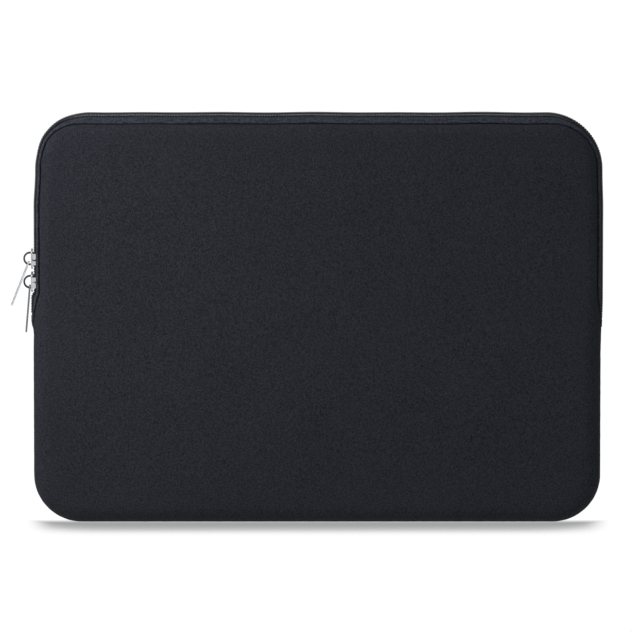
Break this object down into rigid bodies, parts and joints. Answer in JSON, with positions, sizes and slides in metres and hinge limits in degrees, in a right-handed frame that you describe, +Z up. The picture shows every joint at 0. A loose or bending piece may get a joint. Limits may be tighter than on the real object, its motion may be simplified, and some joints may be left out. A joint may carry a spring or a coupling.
{
  "type": "laptop sleeve",
  "caption": "Flat padded sleeve with rounded corners for a small laptop, closed round its top half by a two-way coil zip with metal sliders and pull tabs.",
  "frame": {"origin": "middle of the bottom edge, in the plane where the two panels meet", "axes": "+X to the right seen from the front, +Y from the front panel to the back panel, +Z up"},
  "size_m": [0.3641, 0.025, 0.255],
  "materials": {
    "outer_fabric": "fine matt knit, charcoal black with a slight blue cast",
    "foam_core": "closed-cell foam, black",
    "plush_lining": "short-pile plush, black",
    "zip_tape": "woven polyester tape, black",
    "zip_coil": "wound nylon monofilament, black, slight sheen",
    "filler_cord": "twisted cord, black",
    "coil_thread": "fine polyester thread, black",
    "seam_thread": "polyester sewing thread, black",
    "binding_tape": "grosgrain binding tape, black",
    "slider_metal": "nickel-plated die-cast zinc, bright",
    "bridge_metal": "black-nickel plated strap, dark and glossy",
    "pull_metal": "nickel-plated stamped plate, bright, lightly rubbed"
  },
  "bodies": {
    "pocket": {"back_coil_cord": "filler_cord", "back_coil_stitching": "coil_thread", "back_foam": "foam_core", "back_lining": "plush_lining", "back_outer_fabric": "outer_fabric", "back_zip_coil": "zip_coil", "back_zip_seam_binding": "binding_tape", "back_zip_tape": "zip_tape", "back_zip_topstitching": "seam_thread", "bottom_seam_binding": "binding_tape", "front_pocket_foam": "foam_core", "front_pocket_lining": "plush_lining", "front_pocket_outer_fabric": "outer_fabric", "left_zip_end_tack": "seam_thread", "right_zip_end_tack": "seam_thread", "side_and_bottom_seam_thread": "seam_thread"},
    "flap": {"front_flap_foam": "foam_core", "front_flap_lining": "plush_lining", "front_flap_outer_fabric": "outer_fabric", "front_zip_tape": "zip_tape", "front_zip_coil": "zip_coil", "front_coil_cord": "filler_cord", "front_coil_stitching": "coil_thread", "front_zip_topstitching": "seam_thread", "front_zip_seam_binding": "binding_tape"},
    "upper_slider": {"upper_slider_body": "slider_metal", "upper_slider_bridge": "bridge_metal"},
    "lower_slider": {"lower_slider_body": "slider_metal", "lower_slider_bridge": "bridge_metal"},
    "upper_pull": {"upper_pull_tab": "pull_metal"},
    "lower_pull": {"lower_pull_tab": "pull_metal"}
  },
  "joints": [
    {"name": "mouth_open", "type": "hinge", "parent": "pocket", "child": "flap", "pos_m": [0, -0.0125, 0.126], "axis": [1, 0, 0], "range_deg": [0, 60], "deforming": ["front_zip_coil", "front_coil_cord", "front_coil_stitching"]},
    {"name": "upper_slider_slide", "type": "slide", "parent": "pocket", "child": "upper_slider", "axis": [0, 0, 1], "range_m": [0, 0.048], "deforming": ["front_zip_coil", "back_zip_coil"]},
    {"name": "lower_slider_slide", "type": "slide", "parent": "pocket", "child": "lower_slider", "axis": [0, 0, -1], "range_m": [0, 0.0145], "deforming": ["front_zip_coil", "back_zip_coil"]},
    {"name": "upper_pull_swing", "type": "hinge", "parent": "upper_slider", "child": "upper_pull", "pos_m": [-0.17705, 0, 0.164], "axis": [0, 1, 0], "range_deg": [0, 153.5]},
    {"name": "lower_pull_swing", "type": "hinge", "parent": "lower_slider", "child": "lower_pull", "pos_m": [-0.17705, 0, 0.1495], "axis": [0, 1, 0], "range_deg": [-2.5, 25]}
  ]
}
